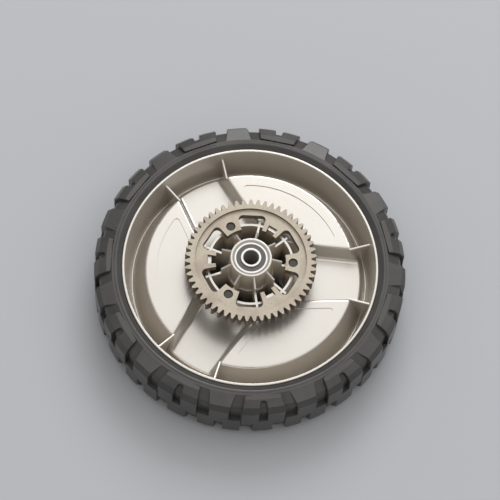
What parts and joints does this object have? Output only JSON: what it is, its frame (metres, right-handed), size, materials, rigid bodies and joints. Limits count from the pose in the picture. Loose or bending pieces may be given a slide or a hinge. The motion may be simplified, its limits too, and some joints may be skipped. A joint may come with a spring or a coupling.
{
  "type": "drive wheel",
  "caption": "Lawn mower drive wheel: lugged rubber tyre on a moulded spoked rim, a ring gear screwed to its hub, and sealed ball bearings for the axle.",
  "frame": {"origin": "on the axle line, at the plane that the tyre lies on when the wheel lies on its outer face", "axes": "+Z along the axle line, from the outboard face towards the gear side; one channel of the disc lies 3.1 degrees past +X"},
  "size_m": [0.2032, 0.2032, 0.0551],
  "materials": {
    "tyre_rubber": "matt moulded rubber",
    "rim_plastic": "satin silver-grey moulding",
    "sintered_metal": "matt sintered, sand coloured",
    "dark_steel": "dark oxide",
    "bearing_steel": "ground bright",
    "ball_steel": "polished",
    "cage_plastic": "natural nylon",
    "seal_rubber": "satin moulded rubber",
    "sleeve_steel": "plain drawn tube"
  },
  "bodies": {
    "axle_core": {"inboard_inner_ring": "bearing_steel", "outboard_inner_ring": "bearing_steel", "spacer_sleeve": "sleeve_steel"},
    "wheel": {"tyre": "tyre_rubber", "wheel_rim": "rim_plastic", "drive_gear": "sintered_metal", "gear_screws": "dark_steel", "inboard_outer_ring": "bearing_steel", "inboard_lower_seal": "seal_rubber", "inboard_upper_seal": "seal_rubber", "outboard_outer_ring": "bearing_steel", "outboard_lower_seal": "seal_rubber", "outboard_upper_seal": "seal_rubber"},
    "inboard_ball_set": {"inboard_balls": "ball_steel", "inboard_cage": "cage_plastic"},
    "outboard_ball_set": {"outboard_balls": "ball_steel", "outboard_cage": "cage_plastic"}
  },
  "joints": [
    {"name": "wheel_spin", "type": "hinge", "parent": "axle_core", "child": "wheel", "pos_m": [0, 0, 0.0306], "axis": [0, 0, 1], "continuous": true},
    {"name": "inboard_balls_roll", "type": "hinge", "parent": "axle_core", "child": "inboard_ball_set", "pos_m": [0, 0, 0.0512], "axis": [0, 0, 1], "continuous": true},
    {"name": "outboard_balls_roll", "type": "hinge", "parent": "axle_core", "child": "outboard_ball_set", "pos_m": [0, 0, 0.0099], "axis": [0, 0, 1], "continuous": true}
  ],
  "couplings": [
    {"joint": "inboard_balls_roll", "follows": "wheel_spin", "ratio": 0.59494},
    {"joint": "outboard_balls_roll", "follows": "wheel_spin", "ratio": 0.59494}
  ]
}
